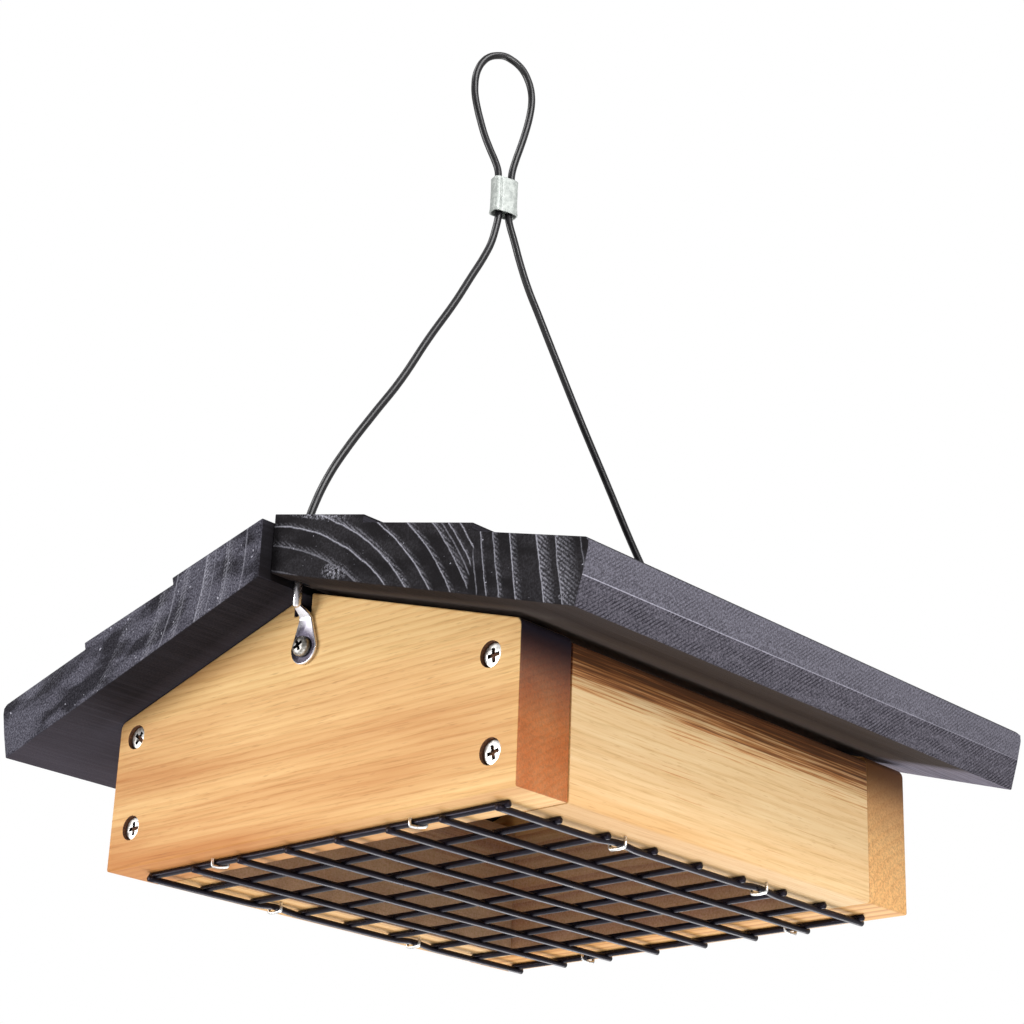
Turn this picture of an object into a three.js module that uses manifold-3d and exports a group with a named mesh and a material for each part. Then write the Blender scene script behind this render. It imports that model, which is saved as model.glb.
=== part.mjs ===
// A hanging feeder for birds that eat suet upside down. Two end panels and two side rails hold
// the cake over a welded wire grid. The roof, two boards cut in steps, slides up along the steel
// cable that carries the box: it runs from a lug on each end panel through a hole in the roof to
// a ferrule, and ends in the loop that the feeder hangs by.
// Lengths are in millimetres. X runs across the ridge, Y along it and Z up. Places are taken
// from the middle of the bay at the height of the wood's underside, and the whole part is moved
// at the end so that its origin is the point of the loop that rests on a hook.

import * as THREE from "three";
import Module from "manifold-3d";
import { mergeVertices } from "three/addons/utils/BufferGeometryUtils.js";

// Sizes of the wooden box. The shoulder of a panel, at its lower side, stands above the rails
const bayWidth = 119;
const bayDepth = 131;
const boardThickness = 19;
const railHeight = 42;
const shoulderRise = 1;
const peakOffset = -1;
const edgeRadius = 0.9;
const notchWidth = 6.4;
const notchDrop = 6;
const notchOffset = -3.1;

// Sizes of the roof. A course is one step of a board, thick at its lower end. The last course
// is cut off at the eave, where it is thinner
const roofPitch = THREE.MathUtils.degToRad(17);
const roofLength = 195;
const ridgeOffset = -2.7;
const leftAdvance = 4.3;
const leftLift = 0.3;
const rightLift = 1.5;
const leftSlope = 111.5;
const rightSlope = 114.8;
const leftCourse = 39.3;
const rightCourse = 41.6;
const courseCount = 3;
const courseThick = 18.4;
const courseThin = 16.2;
const eaveThick = 17.1;
const eaveRadius = 2.5;
const cableHole = 5;

// Sizes of the cleat that joins the roof boards from below
const cleatWidth = 28;
const cleatDepth = 16;
const cleatEndGap = 1.5;
const cleatScrewSpread = 8.5;
const cleatScrewShares = [-0.34, 0.34];

// Sizes of the wire grid. Its border wires lie on the wood, past the edges of the bay
const wireDiameter = 1.9;
const wirePitch = 19.05;
const sideLap = 7.175;
const endLap = 10.7;
const weldSink = 0.75;
const depthWireStub = 1.4;
const crossWireStub = 1.3;

// Sizes of the staples, and where they stand on the border wires: so many grid gaps from the
// lower end of the wire, and so many from its upper end
const stapleWire = 1;
const stapleSpread = 6.2;
const stapleLeg = 8;
const stapleShares = {
  front: [1.47, 1.53],
  back: [1.6, 1.25],
  left: [2.4, 2.54],
  right: [2.3, 2.5],
};

// Sizes of the screws. A head's outline is in shares of its radius and height, and the panel
// screws stand at shares of a rail's thickness, from its inner face, and of its height. Their
// flat heads are sunk into the panel, and the pan heads of the others stand on it
const flatShares = [[0, 1], [0.93, 1], [1, 0.9], [1, 0.78]];
const panShares = [[0, 1], [0.6, 1], [0.88, 0.75], [1, 0.35], [1, 0]];
const panelScrew = { head: 6.5, headHeight: 2.6, shank: 4, length: 32, shares: flatShares };
const lugScrew = { head: 5.8, headHeight: 2, shank: 3.4, length: 14, shares: panShares };
const cleatScrew = { head: 6.2, headHeight: 2.1, shank: 3.4, length: 24, shares: panShares };
const sinkDepth = 1.1;
const recessWidthShare = 0.15;
const recessSpanShare = 0.56;
const recessDepthShare = 0.6;
const frontLeftScrewShares = [[0.516, 0.274], [0.6, 0.915]];
const frontRightScrewShares = [[0.516, 0.243], [0.458, 0.845]];
const backScrewShares = [[0.5, 0.25], [0.5, 0.85]];

// Sizes of the lugs: a bent plate on the panel with a barrel that is pressed on the cable
const lugPlate = 1;
const lugWidth = 9.8;
const lugNeck = 4.9;
const lugScrewDrop = 16.1;
const lugCreaseRise = 7.2;
const lugKneeRise = 10.2;
const lugStandoff = 4.4;
const barrelDiameter = 2.4;
const barrelRise = 19.8;

// Sizes of the cable and its ferrule, and the places that the cable runs through
const cableOffset = -0.7;
const cableDiameter = 2.35;
const legStepShare = 3;
const loopStepShare = 2.2;
const ferruleTurn = THREE.MathUtils.degToRad(18);
const ferruleY = -14.5;
const ferruleBottom = 216.2;
const ferruleHeight = 12.6;
const ferruleWidth = 8.6;
const ferruleThickness = 4.8;
const ferruleWaist = 0.7;
const frontLegPoints = [
  [-0.7, -88.9, 71.1], [-0.7, -88.9, 74.5], [-0.7, -88.6, 78.5], [-0.7, -88.0, 82.6],
  [-0.7, -87.2, 86.6], [-0.7, -85.4, 92.4], [-0.7, -81.0, 102.6], [-0.7, -75.4, 112.4],
  [-0.7, -65.6, 127.2], [-0.7, -55.3, 142.3], [-0.7, -44.5, 160.6], [-0.7, -34.2, 177.0],
  [-0.7, -28.0, 187.9], [-0.8, -21.7, 199.0], [-0.9, -19.2, 204.3], [-1.0, -17.6, 209.4],
  [-1.2, -16.2, 215.2],
];
const backLegPoints = [
  [-0.7, 88.9, 71.1], [-0.7, 88.9, 75.6], [-0.7, 88.5, 80.6], [-0.7, 87.4, 86.0],
  [-0.7, 84.4, 90.6], [-0.7, 78.6, 96.4], [-0.7, 67.6, 107.5], [-0.7, 54.6, 121.5],
  [-0.7, 38.6, 141.8], [-0.7, 25.6, 158.3], [-0.7, 13.2, 174.9], [-0.7, 3.5, 188.2],
  [-0.6, -1.5, 194.8], [-0.4, -5.8, 201.7], [-0.2, -9.5, 208.8], [-0.1, -12.5, 215.0],
];
const loopCrown = [-1.8, 275.5];
const loopPoints = [
  [-2.3, 229.1], [-2.6, 231.8], [-3.7, 234.6], [-5.8, 238.5], [-7.9, 242.8], [-9.8, 248.0],
  [-11.3, 252.9], [-12.2, 257.1], [-12.4, 260.4], [-12.2, 263.9], [-11.3, 267.3],
  [-9.9, 270.1], [-7.7, 272.8], [-4.7, 274.8], loopCrown, [0.9, 275.0], [3.4, 273.8],
  [5.4, 271.8], [7.0, 269.3], [8.1, 266.6], [8.7, 263.6], [8.8, 260.4], [8.5, 257.2],
  [7.9, 253.5], [6.3, 246.6], [5.0, 241.9], [3.6, 237.0], [2.6, 232.6], [2.3, 229.1],
];

// Clearances: round what stands in a hole, under what rests flat, and past a face that is cut
const fitGap = 0.3;
const seatGap = 0.1;
const overrun = 1;

// Materials
const cedar = material(0xe0ad6c, 0.75, 0);
const stainedCedar = material(0x45434a, 0.85, 0);
const blackWire = material(0x1f1d22, 0.45, 0);
const brightSteel = material(0xb9b6ad, 0.35, 1);
const platedSteel = material(0x7d7686, 0.25, 1);
const aluminium = material(0xc9cfcb, 0.35, 1);
const blackCoating = material(0x17161a, 0.4, 0);

function material(color, roughness, metalness) {
  return new THREE.MeshStandardMaterial({ color, roughness, metalness });
}

// Sides of round screws, holes and barrels, of the wires and of the cable
const roundSides = 12;
const wireSides = 8;
const cableSides = 8;

const wasm = await Module();
wasm.setup();

// Turns a closed geometry into a solid that can be cut and joined
function solidOf(geometry) {
  const bare = geometry.clone();
  bare.deleteAttribute("normal");
  bare.deleteAttribute("uv");
  const merged = mergeVertices(bare);
  const vertProperties = merged.attributes.position.array;
  const triVerts = new Uint32Array(merged.index.array);
  return new wasm.Manifold(new wasm.Mesh({ numProp: 3, vertProperties, triVerts }));
}

function geometryOf(solid) {
  const { numProp, vertProperties, triVerts } = solid.getMesh();
  const geometry = new THREE.BufferGeometry();
  geometry.setAttribute("position", new THREE.BufferAttribute(vertProperties, numProp));
  geometry.setIndex(new THREE.BufferAttribute(triVerts, 1));
  geometry.computeVertexNormals();
  return geometry;
}

function joined(geometries) {
  return geometries.map(solidOf).reduce((whole, solid) => whole.add(solid));
}

function cut(solid, cutters) {
  return cutters.reduce((rest, cutter) => rest.subtract(cutter), solid);
}

// Adds a named mesh to a group, at a place and with a turn of its own
function add(group, name, geometry, look, place = new THREE.Vector3(), turn = new THREE.Euler()) {
  const mesh = new THREE.Mesh(geometry, look);
  mesh.name = name;
  mesh.position.copy(place);
  mesh.rotation.copy(turn);
  group.add(mesh);
}

function placed(geometry, place, turn) {
  const matrix = new THREE.Matrix4().makeRotationFromEuler(turn).setPosition(place);
  return geometry.clone().applyMatrix4(matrix);
}

// Extrudes an outline drawn in X and Z along Y, from its front end backwards
function extrudeAlongY(shape, front, length, bevel = 0) {
  const geometry = new THREE.ExtrudeGeometry(shape, {
    depth: length - 2 * bevel,
    bevelEnabled: bevel > 0,
    bevelThickness: bevel,
    bevelSize: bevel,
    bevelOffset: -bevel,
    bevelSegments: 2,
    curveSegments: 3,
  });
  return geometry.rotateX(Math.PI / 2).translate(0, front + length - bevel, 0);
}

function shapeThrough(points) {
  return new THREE.Shape(points.map(([x, y]) => new THREE.Vector2(x, y)));
}

const boxHalfWidth = bayWidth / 2 + boardThickness;
const boxHalfDepth = bayDepth / 2 + boardThickness;
const tangent = Math.tan(roofPitch);
const cosine = Math.cos(roofPitch);
const panelPeak = railHeight + shoulderRise + (boxHalfWidth + Math.abs(peakOffset)) * tangent;
const frontTurn = new THREE.Euler(-Math.PI / 2, 0, 0);
const backTurn = new THREE.Euler(Math.PI / 2, 0, 0);
const noTurn = new THREE.Euler();

// Screws point along +Z of their own, with the underside of the head at zero
function screwGeometry({ head, headHeight, shank, length, shares }) {
  const profile = [
    ...shares.map(([across, up]) => [across * head / 2, -up * headHeight]),
    [shank / 2, 0], [shank / 2, length - shank], [0, length],
  ];
  const points = profile.map(([x, y]) => new THREE.Vector2(x, y));
  const body = new THREE.LatheGeometry(points, roundSides);
  const depth = headHeight * recessDepthShare;
  const slots = [0, Math.PI / 2].map((turn) => {
    const slot = new THREE.BoxGeometry(
      head * recessSpanShare, head * recessWidthShare, depth + overrun);
    return slot.rotateZ(turn).translate(0, 0, (depth - overrun) / 2 - headHeight);
  });
  return geometryOf(cut(solidOf(body.rotateX(Math.PI / 2)), slots.map(solidOf)));
}

function screwDrill({ shank, length }, place, turn) {
  const drill = new THREE.CylinderGeometry(
    shank / 2 + fitGap, shank / 2 + fitGap, length + fitGap + overrun, roundSides);
  drill.rotateX(Math.PI / 2).translate(0, 0, (length + fitGap - overrun) / 2);
  return solidOf(placed(drill, place, turn));
}

// The bore that a sunk head stands in, from past the board's face to just under the head
function headBore({ head, headHeight }, place, turn) {
  const depth = headHeight + sinkDepth + overrun + seatGap;
  const bore = new THREE.CylinderGeometry(
    head / 2 + fitGap, head / 2 + fitGap, depth, roundSides);
  bore.rotateX(Math.PI / 2).translate(0, 0, seatGap - depth / 2);
  return solidOf(placed(bore, place, turn));
}

// The four screws of each end panel go through it into the ends of the rails
function panelScrews() {
  const corners = [
    ["front", "left", frontLeftScrewShares], ["front", "right", frontRightScrewShares],
    ["back", "left", backScrewShares], ["back", "right", backScrewShares],
  ];
  return corners.flatMap(([end, side, shares]) => {
    const sign = side === "left" ? -1 : 1;
    const seat = boxHalfDepth - sinkDepth - panelScrew.headHeight;
    return shares.map(([across, up], index) => ({
      name: `${end}_screw_${side}_${index ? "upper" : "lower"}`,
      place: new THREE.Vector3(
        sign * (bayWidth / 2 + across * boardThickness),
        end === "front" ? -seat : seat,
        up * railHeight),
      turn: end === "front" ? frontTurn : backTurn,
    }));
  });
}

// One screw holds each lug against its panel
const lugHeight = panelPeak - lugScrewDrop;

function lugScrews() {
  const out = boxHalfDepth + lugPlate + 2 * seatGap;
  return ["front", "back"].map((end) => ({
    name: `${end}_lug_screw`,
    place: new THREE.Vector3(cableOffset, end === "front" ? -out : out, lugHeight),
    turn: end === "front" ? frontTurn : backTurn,
  }));
}

// The wire grid hangs under the wood. Its cross wires touch the boards, and its depth wires are
// welded on below them
const gridWidth = bayWidth + 2 * sideLap;
const gridDepth = bayDepth + 2 * endLap;
const gapsAcross = Math.round(gridWidth / wirePitch);
const gapsAlong = Math.round(gridDepth / wirePitch);
const crossWireHeight = -seatGap - wireDiameter / 2;
const depthWireHeight = crossWireHeight - wireDiameter + weldSink;

function wire(length) {
  return new THREE.CylinderGeometry(wireDiameter / 2, wireDiameter / 2, length, wireSides);
}

function wireGrid() {
  const wires = [];
  for (let index = 0; index <= gapsAcross; index += 1) {
    const x = (index / gapsAcross - 1 / 2) * gridWidth;
    const length = gridDepth + wireDiameter + 2 * depthWireStub;
    wires.push(wire(length).translate(x, 0, depthWireHeight));
  }
  for (let index = 0; index <= gapsAlong; index += 1) {
    const y = (index / gapsAlong - 1 / 2) * gridDepth;
    const length = gridWidth + wireDiameter + 2 * crossWireStub;
    wires.push(wire(length).rotateZ(Math.PI / 2).translate(0, y, crossWireHeight));
  }
  return geometryOf(joined(wires));
}

// A staple is drawn with the wood's underside at zero. Its crown passes under the wire, across
// it along X, and its legs reach up into the wood on both sides of the wire
function stapleGeometry(wireHeight) {
  const outer = stapleSpread / 2;
  const inner = outer - stapleWire;
  const bottom = wireHeight - wireDiameter / 2 - seatGap - stapleWire;
  const shape = shapeThrough([
    [-outer, bottom], [outer, bottom], [outer, stapleLeg], [inner, stapleLeg],
    [inner, bottom + stapleWire], [-inner, bottom + stapleWire], [-inner, stapleLeg],
    [-outer, stapleLeg],
  ]);
  return extrudeAlongY(shape, -stapleWire / 2, stapleWire);
}

function staples() {
  const acrossWire = new THREE.Euler();
  const alongWire = new THREE.Euler(0, 0, Math.PI / 2);
  return Object.entries(stapleShares).flatMap(([border, shares]) => {
    const onEnd = border === "front" || border === "back";
    const sign = border === "front" || border === "left" ? -1 : 1;
    const span = onEnd ? gridWidth : gridDepth;
    const gap = span / (onEnd ? gapsAcross : gapsAlong);
    const stations = [shares[0] * gap - span / 2, span / 2 - shares[1] * gap];
    return stations.map((station, index) => ({
      name: `staple_${border}_${index + 1}`,
      wireHeight: onEnd ? crossWireHeight : depthWireHeight,
      place: onEnd
        ? new THREE.Vector3(station, sign * gridDepth / 2, 0)
        : new THREE.Vector3(sign * gridWidth / 2, station, 0),
      turn: onEnd ? alongWire : acrossWire,
    }));
  });
}

function staplePockets({ place, turn }) {
  const side = stapleWire + 2 * fitGap;
  const height = stapleLeg + fitGap + overrun;
  return [-1, 1].map((sign) => {
    const pocket = new THREE.BoxGeometry(side, side, height);
    const across = sign * (stapleSpread - stapleWire) / 2;
    pocket.translate(across, 0, (stapleLeg + fitGap - overrun) / 2);
    return solidOf(placed(pocket, place, turn));
  });
}

// Every hole in the box's boards is cut by what stands in it
const boxScrews = panelScrews();
const plateScrews = lugScrews();
const boxStaples = staples();
const boardCutters = [
  ...boxScrews.map(({ place, turn }) => screwDrill(panelScrew, place, turn)),
  ...boxScrews.map(({ place, turn }) => headBore(panelScrew, place, turn)),
  ...plateScrews.map(({ place, turn }) => screwDrill(lugScrew, place, turn)),
  ...boxStaples.flatMap(staplePockets),
];

// An end panel is cut to the roof's pitch, with a notch at its peak. Its outer edges are rounded,
// and its inner face is square, so that the rails butt against it
function panelGeometry(sign) {
  const slopeAt = (x) => panelPeak - Math.abs(x - peakOffset) * tangent;
  const notchLeft = notchOffset - notchWidth / 2;
  const notchRight = notchOffset + notchWidth / 2;
  const notchFloor = panelPeak - notchDrop;
  const shape = shapeThrough([
    [-boxHalfWidth, 0], [boxHalfWidth, 0], [boxHalfWidth, slopeAt(boxHalfWidth)],
    [notchRight, slopeAt(notchRight)], [notchRight, notchFloor], [notchLeft, notchFloor],
    [notchLeft, slopeAt(notchLeft)], [-boxHalfWidth, slopeAt(-boxHalfWidth)],
  ]);
  const length = boardThickness + edgeRadius;
  const front = sign < 0 ? -boxHalfDepth : bayDepth / 2 - edgeRadius;
  const bevelled = extrudeAlongY(shape, front, length, edgeRadius);
  const spare = new THREE.BoxGeometry(
    2 * boxHalfWidth + overrun, edgeRadius + overrun, 2 * panelPeak + overrun);
  spare.translate(0, sign * (bayDepth - edgeRadius - overrun) / 2, panelPeak / 2);
  return geometryOf(cut(solidOf(bevelled), [solidOf(spare), ...boardCutters]));
}

// A rail's outer edges are rounded, and its ends butt against the panels
function railGeometry(sign) {
  const inner = sign * bayWidth / 2;
  const outer = sign * boxHalfWidth;
  const eased = outer - sign * edgeRadius;
  const shape = new THREE.Shape();
  shape.moveTo(inner, 0);
  shape.lineTo(eased, 0);
  shape.quadraticCurveTo(outer, 0, outer, edgeRadius);
  shape.lineTo(outer, railHeight - edgeRadius);
  shape.quadraticCurveTo(outer, railHeight, eased, railHeight);
  shape.lineTo(inner, railHeight);
  const length = bayDepth - 2 * seatGap;
  return geometryOf(cut(solidOf(extrudeAlongY(shape, -length / 2, length)), boardCutters));
}

// A roof board is drawn along its underside from the plumb joint at the ridge, where its course
// is cut off, and then turned to the pitch
function ridgeHeight(sign, lift) {
  return panelPeak + sign * (peakOffset - ridgeOffset) * tangent + lift / cosine;
}

function roofBoardGeometry(sign, slope, course, lift, front) {
  const taper = (courseThick - courseThin) / course;
  const firstStep = slope - (courseCount - 1) * course;
  const ridgeThickness = (courseThick - taper * firstStep) / (1 + taper * tangent);
  const joint = seatGap / 2 / cosine;
  const shape = new THREE.Shape();
  shape.moveTo(sign * joint, 0);
  shape.lineTo(sign * slope, 0);
  shape.lineTo(sign * slope, eaveThick - eaveRadius);
  shape.quadraticCurveTo(sign * slope, eaveThick, sign * (slope - eaveRadius), eaveThick);
  for (let step = slope - course; step > 0; step -= course) {
    shape.lineTo(sign * step, courseThin);
    shape.lineTo(sign * step, courseThick);
  }
  shape.lineTo(sign * (joint - ridgeThickness * tangent), ridgeThickness);
  const board = extrudeAlongY(shape, front, roofLength).rotateY(sign * roofPitch);
  board.translate(ridgeOffset, 0, ridgeHeight(sign, lift));
  const holeHeight = 2 * panelPeak;
  const holes = [-1, 1].map((end) => {
    const hole = new THREE.CylinderGeometry(cableHole / 2, cableHole / 2, holeHeight, roundSides);
    hole.rotateX(Math.PI / 2);
    return solidOf(hole.translate(cableOffset, end * roofHoleY, panelPeak));
  });
  return geometryOf(cut(solidOf(board), holes));
}

// The cable stands toward the outside of its hole at the lug, and toward the inside at the top
const barrelY = boxHalfDepth + lugStandoff;
const roofHoleY = barrelY - (cableHole - barrelDiameter) / 2 + fitGap + seatGap;

// The cleat fills the angle under the ridge, where the undersides of both boards meet
const leftRidge = ridgeHeight(-1, leftLift);
const rightRidge = ridgeHeight(1, rightLift);
const cleatOffset = ridgeOffset + (rightRidge - leftRidge) / tangent / 2;
const cleatPeak = (leftRidge + rightRidge) / 2 - fitGap / cosine;
const cleatBottom = cleatPeak - cleatDepth;

function cleatScrews() {
  return cleatScrewShares.flatMap((share, row) => [-1, 1].map((sign) => ({
    name: `cleat_screw_${sign < 0 ? "left" : "right"}_${row + 1}`,
    place: new THREE.Vector3(
      cleatOffset + sign * cleatScrewSpread, share * bayDepth, cleatBottom - seatGap),
    turn: noTurn,
  })));
}

function cleatGeometry(cutters) {
  const half = cleatWidth / 2;
  const shoulder = cleatPeak - half * tangent;
  const shape = shapeThrough([
    [cleatOffset - half, cleatBottom], [cleatOffset + half, cleatBottom],
    [cleatOffset + half, shoulder], [cleatOffset, cleatPeak], [cleatOffset - half, shoulder],
  ]);
  const length = bayDepth - 2 * cleatEndGap;
  return geometryOf(cut(solidOf(extrudeAlongY(shape, -length / 2, length)), cutters));
}

// A lug is a plate bent outward above its screw and cut to a drop, with the barrel on its end.
// It is drawn for the front panel, with Y zero on the panel's face and Z zero at the screw
function lugGeometry() {
  const inner = -seatGap;
  const outer = inner - lugPlate;
  const knee = -lugStandoff;
  const side = shapeThrough([
    [inner, -lugWidth], [inner, lugCreaseRise], [knee + lugPlate, lugKneeRise + lugPlate],
    [knee - lugPlate / 2, lugKneeRise + lugPlate], [knee - lugPlate / 2, lugKneeRise],
    [outer, lugCreaseRise - lugPlate / 2], [outer, -lugWidth],
  ]);
  const strip = new THREE.ExtrudeGeometry(side, { depth: lugWidth, bevelEnabled: false });
  strip.rotateX(Math.PI / 2).rotateZ(Math.PI / 2).translate(-lugWidth / 2, 0, 0);
  const drop = new THREE.Shape();
  drop.moveTo(-barrelDiameter / 2, lugKneeRise + 2 * lugPlate);
  drop.lineTo(-lugNeck / 2, lugCreaseRise);
  drop.lineTo(-lugWidth / 2, 0);
  drop.absarc(0, 0, lugWidth / 2, Math.PI, 2 * Math.PI, false);
  drop.lineTo(lugNeck / 2, lugCreaseRise);
  drop.lineTo(barrelDiameter / 2, lugKneeRise + 2 * lugPlate);
  const outline = extrudeAlongY(drop, knee - barrelDiameter, lugStandoff + 2 * barrelDiameter);
  const hole = new THREE.CylinderGeometry(
    lugScrew.shank / 2 + fitGap, lugScrew.shank / 2 + fitGap, 2 * lugStandoff, roundSides);
  const barrelHeight = barrelRise - lugKneeRise;
  const barrel = new THREE.CylinderGeometry(
    barrelDiameter / 2, barrelDiameter / 2, barrelHeight, roundSides);
  barrel.rotateX(Math.PI / 2).translate(0, knee, lugKneeRise + barrelHeight / 2);
  const plate = solidOf(strip).intersect(solidOf(outline)).subtract(solidOf(hole));
  return geometryOf(plate.add(solidOf(barrel)));
}

// A length of cable follows its points with an eight-sided section
function cableGeometry(points, stepShare) {
  const route = new THREE.CatmullRomCurve3(points, false, "centripetal");
  const corners = [];
  for (let index = 0; index < cableSides; index += 1) {
    const angle = index / cableSides * 2 * Math.PI;
    const corner = new THREE.Vector2(Math.cos(angle), Math.sin(angle));
    corners.push(corner.multiplyScalar(cableDiameter / 2));
  }
  const steps = Math.round(route.getLength() / (stepShare * cableDiameter));
  return new THREE.ExtrudeGeometry(new THREE.Shape(corners), { steps, extrudePath: route });
}

// The ferrule is a double sleeve, drawn in at its waist where the press closed on it
function ferruleGeometry() {
  const half = ferruleThickness / 2;
  const centre = ferruleWidth / 2 - half;
  const shape = new THREE.Shape();
  shape.moveTo(half, -centre);
  shape.lineTo(half - ferruleWaist, 0);
  shape.lineTo(half, centre);
  shape.absarc(0, centre, half, 0, Math.PI, false);
  shape.lineTo(ferruleWaist - half, 0);
  shape.lineTo(-half, -centre);
  shape.absarc(0, -centre, half, Math.PI, 2 * Math.PI, false);
  return new THREE.ExtrudeGeometry(shape, {
    depth: ferruleHeight, bevelEnabled: false, curveSegments: 8,
  });
}

// The box
const box = new THREE.Group();
add(box, "front_panel", panelGeometry(-1), cedar);
add(box, "back_panel", panelGeometry(1), cedar);
add(box, "left_rail", railGeometry(-1), cedar);
add(box, "right_rail", railGeometry(1), cedar);
add(box, "wire_grid", wireGrid(), blackWire);
const panelScrewGeometry = screwGeometry(panelScrew);
for (const { name, place, turn } of boxScrews) {
  add(box, name, panelScrewGeometry, brightSteel, place, turn);
}
for (const { name, wireHeight, place, turn } of boxStaples) {
  add(box, name, stapleGeometry(wireHeight), brightSteel, place, turn);
}

// The roof
const roof = new THREE.Group();
const roofFront = -roofLength / 2;
const leftBoard = roofBoardGeometry(-1, leftSlope, leftCourse, leftLift, roofFront - leftAdvance);
const rightBoard = roofBoardGeometry(1, rightSlope, rightCourse, rightLift, roofFront);
const roofScrews = cleatScrews();
const roofCutters = roofScrews.map(({ place, turn }) => screwDrill(cleatScrew, place, turn));
add(roof, "roof_left_board", geometryOf(cut(solidOf(leftBoard), roofCutters)), stainedCedar);
add(roof, "roof_right_board", geometryOf(cut(solidOf(rightBoard), roofCutters)), stainedCedar);
add(roof, "ridge_cleat", cleatGeometry(roofCutters), cedar);
const cleatScrewGeometry = screwGeometry(cleatScrew);
for (const { name, place, turn } of roofScrews) {
  add(roof, name, cleatScrewGeometry, brightSteel, place, turn);
}

// The hanging gear
const hanger = new THREE.Group();
const lug = lugGeometry();
const halfTurn = new THREE.Euler(0, 0, Math.PI);
const frontLugPlace = new THREE.Vector3(cableOffset, -boxHalfDepth, lugHeight);
const backLugPlace = new THREE.Vector3(cableOffset, boxHalfDepth, lugHeight);
add(hanger, "front_lug", lug, platedSteel, frontLugPlace);
add(hanger, "back_lug", lug, platedSteel, backLugPlace, halfTurn);
const lugScrewGeometry = screwGeometry(lugScrew);
for (const { name, place, turn } of plateScrews) {
  add(hanger, name, lugScrewGeometry, platedSteel, place, turn);
}
const frontLeg = frontLegPoints.map((point) => new THREE.Vector3(...point));
const backLeg = backLegPoints.map((point) => new THREE.Vector3(...point));
const alongLoop = new THREE.Vector3(Math.sin(ferruleTurn), Math.cos(ferruleTurn), 0);
const onLoop = ([along, height]) => (
  new THREE.Vector3(cableOffset, ferruleY, height).addScaledVector(alongLoop, along)
);
add(hanger, "cable_front_leg", cableGeometry(frontLeg, legStepShare), blackCoating);
add(hanger, "cable_back_leg", cableGeometry(backLeg, legStepShare), blackCoating);
add(hanger, "cable_loop", cableGeometry(loopPoints.map(onLoop), loopStepShare), blackCoating);
const ferrulePlace = new THREE.Vector3(cableOffset, ferruleY, ferruleBottom);
const ferruleEuler = new THREE.Euler(0, 0, -ferruleTurn);
add(hanger, "ferrule", ferruleGeometry(), aluminium, ferrulePlace, ferruleEuler);

// The origin is where the top of the loop rests on a hook
const part = new THREE.Group();
part.add(box, roof, hanger);
part.position.copy(onLoop(loopCrown)).negate();
part.position.z += cableDiameter / 2;

export default part;
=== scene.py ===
import math
from functools import partial

import bmesh
import bpy
from mathutils import Matrix, Vector, geometry, noise


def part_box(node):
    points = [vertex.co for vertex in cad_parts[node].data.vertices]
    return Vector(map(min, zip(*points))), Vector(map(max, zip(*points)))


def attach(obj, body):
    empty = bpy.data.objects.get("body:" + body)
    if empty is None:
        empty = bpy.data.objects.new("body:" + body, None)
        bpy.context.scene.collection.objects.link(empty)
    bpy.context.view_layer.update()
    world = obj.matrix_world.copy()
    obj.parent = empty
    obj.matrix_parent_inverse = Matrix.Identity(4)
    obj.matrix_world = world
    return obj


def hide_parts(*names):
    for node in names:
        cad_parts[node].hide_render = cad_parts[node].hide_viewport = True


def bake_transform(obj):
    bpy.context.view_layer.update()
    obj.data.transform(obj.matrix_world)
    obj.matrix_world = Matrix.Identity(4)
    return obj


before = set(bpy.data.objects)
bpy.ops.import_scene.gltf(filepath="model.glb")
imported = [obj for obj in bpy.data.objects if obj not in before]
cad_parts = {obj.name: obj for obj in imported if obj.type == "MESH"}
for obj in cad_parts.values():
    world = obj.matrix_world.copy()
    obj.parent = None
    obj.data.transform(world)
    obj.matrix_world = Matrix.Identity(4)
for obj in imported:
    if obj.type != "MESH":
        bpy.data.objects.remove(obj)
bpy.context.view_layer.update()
MM = 0.001

# The camera stands below the feeder, off its front right corner, and looks up at it. Its place,
# turn and lens were worked out from the corners of the wood and the ends of the grid's wires
front_low, front_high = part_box("front_panel")
back_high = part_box("back_panel")[1]
middle = Vector((
    (front_low.x + front_high.x) / 2, (front_low.y + back_high.y) / 2, front_low.z))


def place(x, y, z):
    return middle + Vector((x, y, z)) * MM


def add_object(name, data):
    added = bpy.data.objects.new(name, data)
    bpy.context.scene.collection.objects.link(added)
    return added


camera_right = Vector((0.739331, 0.672408, 0.035473))
camera_up = Vector((0.231505, -0.303310, 0.924342))
camera_back = Vector((0.632294, -0.675182, -0.379912))
camera = add_object("camera", bpy.data.cameras.new("camera"))
camera.data.lens = 80.26
camera.data.sensor_width = 36
camera.data.clip_end = 20
camera.matrix_world = Matrix.Translation(place(439.263, -474.907, -147.354)) @ Matrix(
    (camera_right, camera_up, camera_back)).transposed().to_4x4()
bpy.context.scene.camera = camera

# The end panels. Each is one flat-sawn cedar board, cut to the roof's pitch with a notch at its
# peak for the cable, and sanded so that only its corners are eased
half_width = 78.5
half_depth = 84.5
board = 19
bay_half = (half_width - board, half_depth - board)
roof_pitch = math.radians(17)
peak = [-1, 67.3]
notch = [-6.3, 0.1, 6]
panel_corner = 1.8
edge_ease = 0.6
bevel_steps = 3
rail_height = 42
bore_width = 7.1
bore_depth = 1.8
screw_shares = {
    "front": {-1: ((0.516, 0.274), (0.6, 0.915)), 1: ((0.516, 0.243), (0.458, 0.845))},
    "back": {-1: ((0.5, 0.25), (0.5, 0.85)), 1: ((0.5, 0.25), (0.5, 0.85))}}


def linear(colour):
    parts = [int(colour[at:at + 2], 16) / 255 for at in (1, 3, 5)]
    return [part / 12.92 if part <= 0.04045 else ((part + 0.055) / 1.055) ** 2.4
            for part in parts] + [1]


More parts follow.
